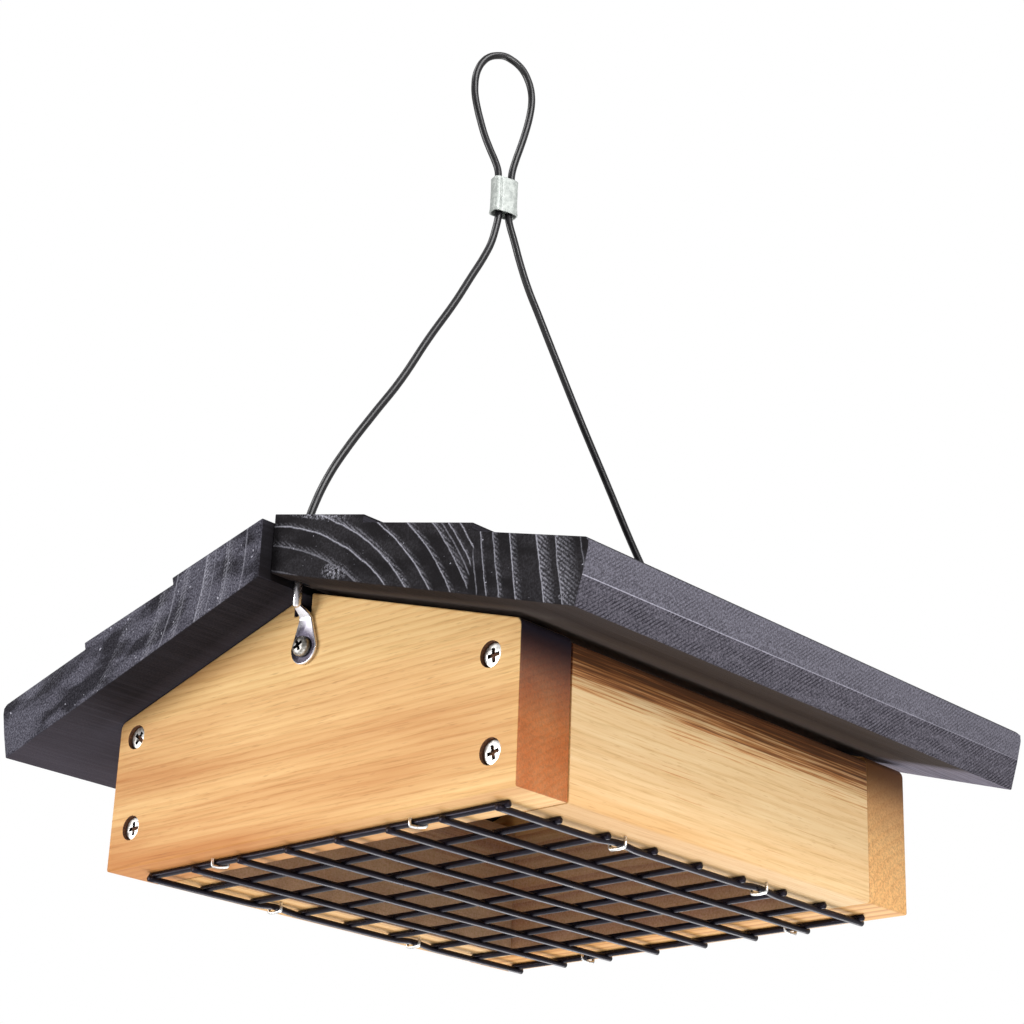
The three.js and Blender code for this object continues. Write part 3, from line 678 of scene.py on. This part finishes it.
# Cedar under a charcoal stain: the soft early wood drinks it and goes near black, the hard late
# wood stands as thin pale lines on the sawn ends, with a haze beside some of them that the saw
# has hatched, and the saw leaves slanting marks on the eave. "arcs" are places on circles about
# the pith, "uprights" are places along the slope past the split, each a pair of tuples of lines
# and hazes (place, strength, how far it fades outward). "patches" are torn pale spots, and
# "under" has the underside's tones: near the ridge and near the eave, which darken it toward the
# box as painted shade, and beside the box's wall, which lightens it there as painted light
def stained_cedar(name, side, pith, arcs, uprights, split, patches, dark, blotch, pale, flecks,
                  under):
    material, shader, node = start_material(name, 0.9, Specular_IOR_Level=0.06)
    local = node("Mapping", node("TexCoord").outputs["Object"], ridge_at(side),
                 (0, side * roof_pitch, 0), (side * MM, MM, MM), vector_type="TEXTURE")
    at = node("SeparateXYZ", local).outputs
    sway, streak, drift, stroke = (
        node("TexNoise", node("Mapping", local, Rotation=turn, Scale=scale), Scale=1,
             Detail=detail, Roughness=rough)
        for turn, scale, detail, rough in (
            ((0, 0, 0), (0.09, 0.008, 0.09), 5, 0.65), ((0, 0, 0), (1.1, 0.025, 1.1), 5, 0.65),
            ((0, -saw_turn, 0), (0.045, 0.012, 0.12), 3, 0.6),
            ((-saw_turn, 0, 0), (1, 0.06, 0.4), 3, 0.6)))
    hatch, saw = (
        node("TexWave", node("Mapping", local, Rotation=turn), Scale=band_gap / gap,
             Distortion=bend, Detail=3, Detail_Scale=fineness, wave_type="BANDS",
             bands_direction=direction, wave_profile="SIN").outputs["Fac"]
        for turn, gap, bend, fineness, direction in (
            ((0, hatch_turn, 0), 0.9, 3.2, 0.6, "X"), ((-saw_turn, 0, 0), 0.95, 3, 0.25, "Z")))
    fleck = node("TexNoise", local, Scale=1.7, Detail=4, Roughness=0.75)
    normal = node("NewGeometry").outputs["Normal"]
    to_end, to_ridge, to_floor, to_eave = (
        node("VectorMath DOT_PRODUCT", normal, direction).outputs["Value"]
        for direction in ((0, 1, 0), (-side, 0, 0), (0, 0, -1),
                          (side * math.cos(roof_pitch), 0, -math.sin(roof_pitch))))
    end_share = node("Math ABSOLUTE", to_end)

    # The sawn ends: arcs and uprights of late wood with hatched hazes, and torn patches
    swayed = node("VectorMath MULTIPLY_ADD", sway.outputs["Color"], (1.6, 0, 1.6), local)
    centred = node("VectorMath SUBTRACT", swayed, (pith[0] + 0.8, 0, pith[1] + 0.8))
    flat = node("VectorMath MULTIPLY", centred, (1, 0, 1))
    radius = node("VectorMath LENGTH", flat).outputs["Value"]
    parts = node("SeparateXYZ", swayed).outputs
    leaning, past_split = (
        node("Math MULTIPLY_ADD", parts["Z"], lean, parts["X"]) for lean in (0.49, 0.15))
    beyond = node("MapRange", past_split, split - 0.3, split + 0.3)

    def ring_lines(value, places):
        low = places[0][0] - 3
        high = places[-1][0] + places[-1][2] + 3
        stops = [(0, 0)]
        for spot, level, fade in places:
            for offset, share in ((-0.22, 0), (0, 1), (fade, 0)):
                stops.append(((spot + offset - low) / (high - low), share * level))
        return node("ValToRGB", node("MapRange", value, low, high), stops=stops)

    lines, hazes = (
        node("MixRGB", beyond, ring_lines(radius, near), ring_lines(leaning, far))
        for near, far in zip(arcs, uprights))
    hatch_share = node("Math MULTIPLY", node("MapRange", hatch, 0.25, 0.8, 0.2, 1),
                       node("MapRange", fleck, 0.4, 0.6, 0.08, 1))
    hatched = node("Math MULTIPLY", hazes, hatch_share)
    worn = node("Math MULTIPLY", lines, node("MapRange", fleck, 0.34, 0.52, 0.4, 1))
    ring_share = node("Math MAXIMUM", worn, hatched)
    for u, v, half_u, half_v in patches:
        squares = [
            node("Math POWER", node("Math MULTIPLY_ADD", at[name], 1 / half, -spot / half), 2)
            for name, spot, half in (("X", u, half_u), ("Z", v, half_v))]
        off = node("Math SQRT", node("Math ADD", *squares))
        torn = node("Math MULTIPLY", node("MapRange", off, 1, 0.3),
                    node("MapRange", fleck, 0.48, 0.62))
        ring_share = node("Math MAXIMUM", ring_share, torn)
    ring_share = node("Math MULTIPLY", ring_share, node("MapRange", end_share, 0.5, 1, 0.05, 1))

    # Every face: blotches, pale flecks, streaks along the board and a few pale spots
    cloud = node("MapRange", drift, 0.42, 0.56)
    clouded = node("Math MULTIPLY", node("MapRange", fleck, 0.42, 0.72),
                   node("MapRange", cloud, 0, 1, 0.25, 1))
    fleck_share = node("Math MULTIPLY", clouded, node("MapRange", end_share, 0, 1, 0.06, flecks))
    blotch_share = node("Math MULTIPLY", cloud, node("MapRange", end_share, 0.2, 0.8, 0.35, 1))
    flecked = node("MixRGB", fleck_share, node("MixRGB", blotch_share, dark, blotch), pale)
    streak_share = node("Math MULTIPLY", node("MapRange", streak, 0.42, 0.72, 0, 0.42),
                        node("Math SUBTRACT", 1, end_share))
    streaked = node("MixRGB", streak_share, flecked, "#5d5b66")
    spots = node("TexNoise", local, Scale=0.75, Detail=1)
    spot_share = node("Math MULTIPLY", node("MapRange", spots, 0.745, 0.775, 0, 0.8),
                      node("MapRange", end_share, 0.5, 1))
    ringed = node("MixRGB", node("Math MAXIMUM", ring_share, spot_share), streaked, "#b9b8c4")
    # The plumb faces in the ridge joint are painted near black as painted shade
    plumb = node("MixRGB", node("MapRange", to_ridge, 0.97, 0.99, 0, 0.9), ringed, "#131113")

    # The underside: darker over the box and lighter toward the eave as painted shade, lightened
    # beside the box's wall as painted light, and pale and streaked behind the box as painted light
    between_panels = node("MapRange", node("Math ABSOLUTE", at["Y"]), half_depth + 6,
                          half_depth - 4)
    # Beside the box's wall the underside is lightened as painted light
    wall_side_painted_light = node("Math MULTIPLY", node("MapRange", at["X"], 98, 86), between_panels)
    # Over the box the underside is darker and toward the eave lighter, as painted shade
    underside_shade_ramp = node("MixRGB", node("MapRange", at["X"], 62, 105), under[0], under[1])
    # Behind the back panel the underside is pale and streaked as painted light
    rear_painted_light = node("MixRGB", node("MapRange", streak, 0.36, 0.66), "#625e6b", "#a19dae")
    underside = node("MixRGB", node("MapRange", at["Y"], half_depth - 14, half_depth - 7),
                     node("MixRGB", wall_side_painted_light, underside_shade_ramp, under[2]), rear_painted_light)
    shaded = node("MixRGB", node("MapRange", to_floor, 0.6, 0.9, 0, 0.7), plumb, underside)

    # The eave: a saw's strokes rise toward the back, strong below the step in the cut, and a
    # painted highlight runs along that step, fading toward the back
    saw_share = node("Math MULTIPLY", node("MapRange", saw, 0.5, 0.9),
                     node("MapRange", stroke, 0.36, 0.62, 0.15, 1))
    facet_line = node("Math MULTIPLY_ADD", at["Y"], -0.006, at["Z"])
    upper = node("MapRange", facet_line, eave_facet[0] - 0.1, eave_facet[0] + 0.2)
    grit = node("TexNoise", local, Scale=2, Detail=3, Roughness=0.8)
    eave_base = node("MixRGB", node("MapRange", grit, 0.36, 0.64),
                     node("MixRGB", upper, "#2f2d34", "#413f46"),
                     node("MixRGB", upper, "#6c6973", "#75737e"))
    saw_depth = node("Math MULTIPLY", saw_share, node("MapRange", upper, 0, 1, 0.9, 0.45))
    eave_sawn = node("MixRGB", saw_depth, eave_base, "#211f25")
    # A thin pale line along the step in the cut is a painted highlight
    from_ridge = node("Math SUBTRACT", facet_line, eave_facet[0] + 0.1)
    on_ridge = node("Math LESS_THAN", node("Math ABSOLUTE", from_ridge), 0.14)
    step_highlight_fade = node("MapRange", at["Y"], -roof_length / 2, roof_length / 2, 0.95, 0.25)
    step_highlight_share = node("Math MULTIPLY", node("MapRange", grit, 0.3, 0.6, 0.45, 1), step_highlight_fade)
    eave_highlighted = node("MixRGB", node("Math MULTIPLY", on_ridge, step_highlight_share), eave_sawn,
                       "#a5a3b0")
    slope = roof_boards["left" if side < 0 else "right"]["slope"]
    at_eave = node("Math GREATER_THAN", at["X"], slope - 5)
    eave_share = node("Math MULTIPLY", at_eave, node("MapRange", to_eave, 0.25, 0.45))
    relief = node("Math ADD", fleck, node("Math ADD", ring_share, streak))
    dress(shader, Base_Color=node("MixRGB", eave_share, shaded, eave_highlighted),
          Normal=node("Bump", Height=relief, Strength=0.5, Distance=0.25 * MM))
    return material


# The last triple of each holds the underside's painted shade ramp and its painted light beside the
# wall
stains = {
    "left": stained_cedar(
        "charcoal_stained_cedar_left", -1, (92, 44),
        (((62.5, 0.3, 0.5), (67, 0.4, 0.5), (71.5, 0.35, 0.5), (78.7, 0.6, 0.5), (82.5, 0.3, 0.4),
          (88, 0.4, 0.5), (95, 0.35, 0.5)),
         ((28, 0.2, 5), (48, 0.2, 4), (61, 0.4, 5), (70, 0.45, 3), (78.7, 0.6, 3.5),
          (87, 0.45, 4))),
        (((500, 0.5, 1),), ((500, 0.5, 1),)), 400, (),
        "#1a181d", "#35333c", "#9796a4", 0.68, ("#1b191c", "#48434b", "#48434b")),
    "right": stained_cedar(
        "charcoal_stained_cedar_right", 1, (2, -70),
        (((70.4, 0.25, 0.4), (77.5, 0.4, 0.5), (83.2, 0.95, 0.3), (87.9, 0.85, 0.35),
          (93.5, 0.95, 0.3), (98.9, 0.85, 0.3), (104, 0.8, 0.3), (106, 0.5, 0.2),
          (107.6, 0.9, 0.25), (110.2, 0.8, 0.25)),
         ((77.5, 0.4, 1.8), (83.3, 0.3, 1.2), (87.9, 0.6, 1.8), (93.5, 0.4, 1.5),
          (98.9, 0.5, 1.6), (104, 0.6, 1.6), (107.6, 0.3, 1))),
        (((82.4, 0.45, 0.35), (85.7, 0.8, 0.3), (90.1, 0.75, 0.35), (96.2, 0.95, 0.35),
          (105.5, 0.95, 0.35), (111.8, 0.7, 0.4), (120.4, 0.3, 0.3)),
         ((85.7, 0.3, 1), (90.1, 0.5, 2), (96.2, 0.5, 2.6), (105.5, 0.78, 4.6),
          (111.8, 0.66, 7))), 78.5, ((26, 2.3, 6, 2.7), (13, 17.4, 15, 1.8),
                                             (110, 2.2, 1.6, 1.2)),
        "#1a181a", "#211f21", "#77757e", 0.16, ("#241d1a", "#3f3733", "#6b605a")),
}


for side_name, sizes in roof_boards.items():
    side, slope, course = sizes["side"], sizes["slope"], sizes["course"]
    taper = (course_thick - course_thin) / course
    ridge_thick = (course_thick - taper * (slope - 2 * course)) / (
        1 + taper * math.tan(roof_pitch))
    outline = [(ridge_gap, 0), (slope, 0), (slope, eave_facet[0]),
               (slope - eave_facet[1], eave_thick - eave_round),
               (slope - eave_bend[0], eave_thick - eave_bend[1]),
               (slope - eave_round, eave_thick)]
    for step in (slope - course, slope - 2 * course):
        outline += [(step, course_thin), (step, course_thick)]
    outline.append((ridge_gap - ridge_thick * math.tan(roof_pitch), ridge_thick))
    at = roof_point(side)
    shape = extrude_along_y(outline, sizes["front"], sizes["front"] + roof_length, at)
    ease(shape, roof_ease)
    drills = [drill(place(cable_x, end * hole_y, peak[1]), cable_hole, hole_reach, 32)
              for end in (-1, 1)]
    make_piece(f"{side_name}_roof_board", cut_from(shape, drills), stains[side_name], "roof",
               [f"roof_{side_name}_board"])

# The cleat is a plain cedar batten under the ridge, planed to the angle where the boards meet,
# and four screws from below hold the boards to it
cleat_half = 14
cleat_half_length = 64
cleat_screw = {"width": 6.2, "height": 2.1, "shank": 3.4}
cleat_screw_spread = 8.5
cleat_screw_reach = 44.5
cleat_low, cleat_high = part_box("ridge_cleat")
cleat_top = (cleat_high.z - middle.z) / MM
cleat_bottom = (cleat_low.z - middle.z) / MM
cleat_middle = ((cleat_low.x + cleat_high.x) / 2 - middle.x) / MM
cleat_side = cleat_top - cleat_half * math.tan(roof_pitch)
cleat = extrude_along_y(
    [(cleat_middle - cleat_half, cleat_bottom), (cleat_middle + cleat_half, cleat_bottom),
     (cleat_middle + cleat_half, cleat_side), (cleat_middle, cleat_top),
     (cleat_middle - cleat_half, cleat_side)], -cleat_half_length, cleat_half_length)
ease(cleat, edge_ease)
# Its last tone is what the top of its end grain darkens to, as painted shade
cleat_cedar = cedar("planed_cedar_cleat", "y", (12, 90), 3.4, "#d9a86c", "#b27a44", "#f2d4ae",
                    "#c08a50", "#8a5c34")
make_piece("ridge_batten", cleat, cleat_cedar, "roof", ["ridge_cleat"])
for row, station in enumerate((-cleat_screw_reach, cleat_screw_reach)):
    for side, name in ((-1, "left"), (1, "right")):
        where = place(cleat_middle + side * cleat_screw_spread, station, cleat_bottom)
        set_screw(f"batten_screw_{name}_{row + 1}", f"cleat_screw_{name}_{row + 1}",
                  screw_shape(pan_profile, **cleat_screw), where, (0, 0, -1),
                  30 + 25 * row + 10 * side, zinc, "roof")

# The lugs end the cable on the panels. Each is a drop of pressed steel plate, bent out above its
# screw, with a barrel on its neck that is squeezed onto the cable
lug_radius = 4.9
lug_plate = 1
lug_gap = 0.1
lug_steps = 48
lug_neck = 2.45
lug_crease = 8.1
lug_bends = ((0.95, 9.6, 1.9), (3.9, 11.4, 1.15))
lug_ease = 0.3
lug_screw = {"width": 5.8, "height": 2, "shank": 3.4}
lug_screw_lift = 0.15
lug_screw_twist = 24
lug_height = 51.2
barrel_y = 4.4
barrel_width = 2.4
barrel_span = (10.4, 19.8)
barrel_profile = ((0, 0.7), (0.06, 1), (0.86, 1), (0.95, 0.92), (1, 0.85))

# Nickel-plated pressed steel: the flat of the plate is a mottled dark violet-grey as a painted
# reflection of dark surroundings, while its rims, its crease and the barrel keep the bright metal
nickel, shader, node = start_material("nickel_plated_lug", metallic=1)
on_lug = node("TexCoord").outputs["Object"]
cloud = node("TexNoise", on_lug, Scale=1 / (1.8 * MM), Detail=5, Roughness=0.65)
# The flat of the plate gets a dark tone as a painted reflection of dark surroundings
dark_reflection_tone = node("ValToRGB", cloud, stops=[(0.32, "#17141a"), (0.56, "#2c2931"), (0.75, "#5f5b66")])
facing = node("VectorMath DOT_PRODUCT", node("NewGeometry").outputs["Normal"], (0, 1, 0))
flat = node("MapRange", node("Math ABSOLUTE", facing.outputs["Value"]), 0.94, 0.99)
below_crease = node("Math LESS_THAN", node("SeparateXYZ", on_lug).outputs["Z"],
                    middle.z + (lug_height + lug_crease - 0.25) * MM)
dark_reflection_share = node("Math MULTIPLY", flat, below_crease)
dress(shader, Base_Color=node("MixRGB", dark_reflection_share, "#e2dfe4", dark_reflection_tone),
      Roughness=node("MapRange", cloud, 0.3, 0.7, 0.18, 0.36))

# The lug's screw has lost its shine: a grey, slightly brassy zinc with dark specks
dull_zinc = mottled(
    "dull_zinc_screw", 0.7, 4, [(0.34, "#74706b"), (0.52, "#a5a19c"), (0.72, "#cac8c5")],
    roughness=0.4, metallic=1)

for end, face in (("front", -1), ("back", 1)):
    def lug_at(x, out, z, face=face):
        return place(cable_x + x * -face, face * (half_depth + out), lug_height + z)

    lug = bmesh.new()
    angles = [math.pi * (1 + step / lug_steps) for step in range(lug_steps + 1)]
    drop = [lug.verts.new(lug_at(lug_radius * math.cos(angle), lug_gap,
                                 lug_radius * math.sin(angle))) for angle in angles]
    neck = [lug.verts.new(lug_at(across, lug_gap, lug_crease)) for across in (-lug_neck, lug_neck)]
    drop_face = lug.faces.new(drop + neck[::-1])
    neck_edge = next(edge for edge in drop_face.edges if set(edge.verts) == set(neck))
    for out, rise, half in lug_bends:
        grown = bmesh.ops.extrude_edge_only(lug, edges=[neck_edge])["geom"]
        moved = [item for item in grown if isinstance(item, bmesh.types.BMVert)]
        for vert in moved:
            across = -face * (vert.co.x - place(cable_x, 0, 0).x)
            vert.co = lug_at(math.copysign(half, across), out, rise)
        neck_edge = next(item for item in grown if isinstance(item, bmesh.types.BMEdge)
                         and set(item.verts) == set(moved))
    face_out(lug)
    if (drop_face.normal.y > 0) == (face > 0):
        bmesh.ops.reverse_faces(lug, faces=lug.faces)
    bmesh.ops.solidify(lug, geom=lug.faces, thickness=lug_plate * MM)
    face_out(lug)
    ease(lug, lug_ease)
    barrel = bmesh.new()
    low, high = barrel_span
    lathe(barrel, [lug_at(wide * barrel_width / 2, barrel_y, low + share * (high - low))
                   for share, wide in barrel_profile], lug_at(0, barrel_y, 0), 32)
    bmesh.ops.holes_fill(barrel, edges=barrel.edges)
    face_out(barrel)
    add_shape(lug, barrel)
    make_piece(f"{end}_cable_lug", lug, nickel, "box", [f"{end}_lug"], 40)
    set_screw(f"{end}_lug_pan_screw", f"{end}_lug_screw", screw_shape(pan_profile, **lug_screw),
              lug_at(0, lug_plate + lug_screw_lift, 0), (0, face, 0), lug_screw_twist,
              dull_zinc, "box")

# The cable is twisted steel wire under a smooth black plastic coat. It rises from each lug
# through its hole in the roof to the ferrule, and ends in the loop that the feeder hangs by
cable = 2.35
cable_legs = {
    "front": [
        (-0.7, -88.9, 71.1), (-0.7, -88.9, 74.5), (-0.7, -88.6, 78.5), (-0.7, -88, 82.6),
        (-0.7, -87.2, 86.6), (-0.7, -85.4, 92.4), (-0.7, -81, 102.6), (-0.7, -75.4, 112.4),
        (-0.7, -65.6, 127.2), (-0.7, -55.3, 142.3), (-0.7, -44.5, 160.6), (-0.7, -34.2, 177),
        (-0.7, -28, 187.9), (-0.8, -21.7, 199), (-0.9, -19.2, 204.3), (-1, -17.6, 209.4),
        (-1.2, -16.2, 215.2), (-1.2, -16.1, 217.1)],
    "back": [
        (-0.7, 88.9, 71.1), (-0.7, 88.9, 75.6), (-0.7, 88.5, 80.6), (-0.7, 87.4, 86),
        (-0.7, 84.4, 90.6), (-0.7, 78.6, 96.4), (-0.7, 67.6, 107.5), (-0.7, 54.6, 121.5),
        (-0.7, 38.6, 141.8), (-0.7, 25.6, 158.3), (-0.7, 13.2, 174.9), (-0.7, 3.5, 188.2),
        (-0.6, -1.5, 194.8), (-0.4, -5.8, 201.7), (-0.2, -9.5, 208.8), (-0.1, -12.5, 215),
        (-0.1, -12.8, 217.1)]}
ferrule_turn = math.radians(18)
ferrule_y = -14.5
loop_points = [
    (-2.2, 227.6), (-2.3, 229.1), (-2.6, 231.8), (-3.7, 234.6), (-5.8, 238.5), (-7.9, 242.8),
    (-9.8, 248), (-11.3, 252.9), (-12.2, 257.1), (-12.4, 260.4), (-12.2, 263.9),
    (-11.3, 267.3), (-9.9, 270.1), (-7.7, 272.7), (-4.7, 274.4), (-1.8, 275.1), (0.9, 274.6),
    (3.4, 273.5), (5.4, 271.8), (7, 269.3), (8.1, 266.6), (8.7, 263.6), (8.8, 260.4),
    (8.5, 257.2), (7.9, 253.5), (6.3, 246.6), (5, 241.9), (3.6, 237), (2.6, 232.6),
    (2.3, 229.1), (2.2, 227.6)]

# Black plastic over twisted wire: a smooth deep black with a clear gloss, in which the strands
# show only as a faint twist
plastic = mottled(
    "black_coated_cable", 3, 3, [(0.35, "#09080a"), (0.65, "#131115")],
    shine=(0.3, 0.7, 0.26, 0.38), bump=(0.2, 0.06), Specular_IOR_Level=0.45)


for end, points in cable_legs.items():
    route = [place(*point) for point in points]
    tail = make_piece(f"{end}_cable_tail", tube(route[:3], cable, 16, 4)[0], plastic, None, [],
                      60)
    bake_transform(tail)
    shape, path = tube(route[2:], cable, 16, 6)
    leg = make_piece(f"{end}_cable", shape, plastic, None, [f"cable_{end}_leg"],
                     60)
    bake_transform(leg)

loop_route = [place(cable_x + along * math.sin(ferrule_turn),
                    ferrule_y + along * math.cos(ferrule_turn), up) for along, up in loop_points]
shape, path = tube(loop_route, cable, 16, 4)
loop = make_piece("hanging_cable_loop", shape, plastic, "box", ["cable_loop"], 60)

# The ferrule is a double sleeve of soft aluminium, pressed flat so that it bites on both stretches
# of the cable, with a rolled lip at its mouth and a crease where the press closed
ferrule_base = 216.2
ferrule_width = 8.6
ferrule_thick = 4.8
# Each ring around the sleeve is (rise, share of the width, how far in from the outside)
ferrule_rings = (
    (2.2, 1, 0.65), (0.25, 1.05, 0.6), (0, 1.06, 0.4), (0.05, 1.06, 0.1), (0.3, 1.05, 0),
    (1.2, 1.03, 0), (2.4, 1, 0), (6.3, 0.99, 0), (11.3, 1, 0), (12.3, 1.01, 0), (12.6, 1, 0.2),
    (12.6, 1, 0.45), (12.4, 1, 0.6), (10.6, 1, 0.65))
ferrule_sides = 160
crease_along = -2.2
crease_width = 0.3
crease_depth = 0.25

# Pressed aluminium: a pale grey metal with fine mottling from the die and soft dents
aluminium = mottled(
    "pressed_aluminium", 1.3, 5, [(0.3, "#8f9491"), (0.5, "#a5aaa6"), (0.72, "#c3c7c3")],
    shine=(0.3, 0.7, 0.32, 0.55), bump=(0.3, 0.08), uneven=0.65, metallic=0.25)

ferrule = bmesh.new()
rounds = []
for rise, wide, inset in ferrule_rings:
    points = []
    for step in range(ferrule_sides):
        angle = 2 * math.pi * step / ferrule_sides
        across, along = (
            (size / 2 * wide - inset) * math.copysign(math.sqrt(abs(share)), share)
            for size, share in (
                (ferrule_thick, math.cos(angle)), (ferrule_width, math.sin(angle))))
        if inset == 0:
            near = ((along - crease_along) / crease_width) ** 2
            across -= math.copysign(crease_depth * math.exp(-near), across)
        points.append(ferrule.verts.new((across, along, rise)))
    rounds.append(points)
for low, high in zip(rounds, rounds[1:]):
    for index in range(ferrule_sides):
        following = (index + 1) % ferrule_sides
        ferrule.faces.new((low[index], low[following], high[following], high[index]))
ferrule.faces.new(rounds[0])
ferrule.faces.new(rounds[-1])
bmesh.ops.transform(
    ferrule, verts=ferrule.verts,
    matrix=Matrix.Translation(place(cable_x, ferrule_y, ferrule_base))
    @ Matrix.Rotation(-ferrule_turn, 4, "Z") @ Matrix.Scale(MM, 4))
face_out(ferrule)
make_piece("pressed_ferrule", ferrule, aluminium, "box", ["ferrule"], 50)

# The room: a pale floor far below, a white surround, and six soft lamps. The camera sees the
# floor and the surround, also as mirrored in metal, brighter than the light that they throw
ambient_light = 0.4
floor_glow = 0.5
floor_size = 6
floor_drop = 1.3
floor_shape = bmesh.new()
bmesh.ops.create_grid(floor_shape, x_segments=1, y_segments=1, size=floor_size,
                      matrix=Matrix.Translation((0, 0, middle.z - floor_drop)))
floor = add_object("floor", mesh_of(floor_shape, "floor"))
paint, shader, node = start_material("pale_floor", 0.9)
floor.data.materials.append(paint)
rays = node("LightPath").outputs
seen = node("Math MAXIMUM", rays["Is Camera Ray"], rays["Is Glossy Ray"])
dress(shader, Base_Color="#f2f1ee", Emission_Color=(1, 1, 1, 1),
      Emission_Strength=node("Math MULTIPLY", seen, floor_glow))

world = bpy.data.worlds.new("surround")
bpy.context.scene.world = world
world.use_nodes = True
node = partial(add_node, world)
rays = node("LightPath").outputs
strength = ambient_light
for ray, share in (("Is Camera Ray", 1), ("Is Transmission Ray", 1), ("Is Glossy Ray", 0.5)):
    strength = node("Math MAXIMUM", node("Math MULTIPLY", rays[ray], share), strength)
dress(world.node_tree.nodes["Background"], Color=(1, 1, 1, 1), Strength=strength)

lamps = {
    "front_lamp": ((-1.1, -1.5, 0.1), 0.8, 23),
    "right_lamp": ((1.6, -0.2, 0.15), 0.5, 15),
    "low_lamp": ((-0.4, 0.92, -0.85), 0.7, 9),
    "fill_lamp": ((0.5, -0.6, -1.2), 1.0, 5),
    "high_right_lamp": ((0.95, -0.2, 1.1), 0.75, 16),
    "high_left_lamp": ((-0.6, -0.6, 1.2), 0.4, 4),
}
for name, (spot, size, power) in lamps.items():
    lamp = add_object(name, bpy.data.lights.new(name, "AREA"))
    lamp.data.size = size
    lamp.data.energy = power
    lamp.location = middle + Vector(spot)
    lamp.rotation_euler = (middle - lamp.location).to_track_quat("-Z", "Y").to_euler()

bpy.context.scene.view_settings.view_transform = "Standard"
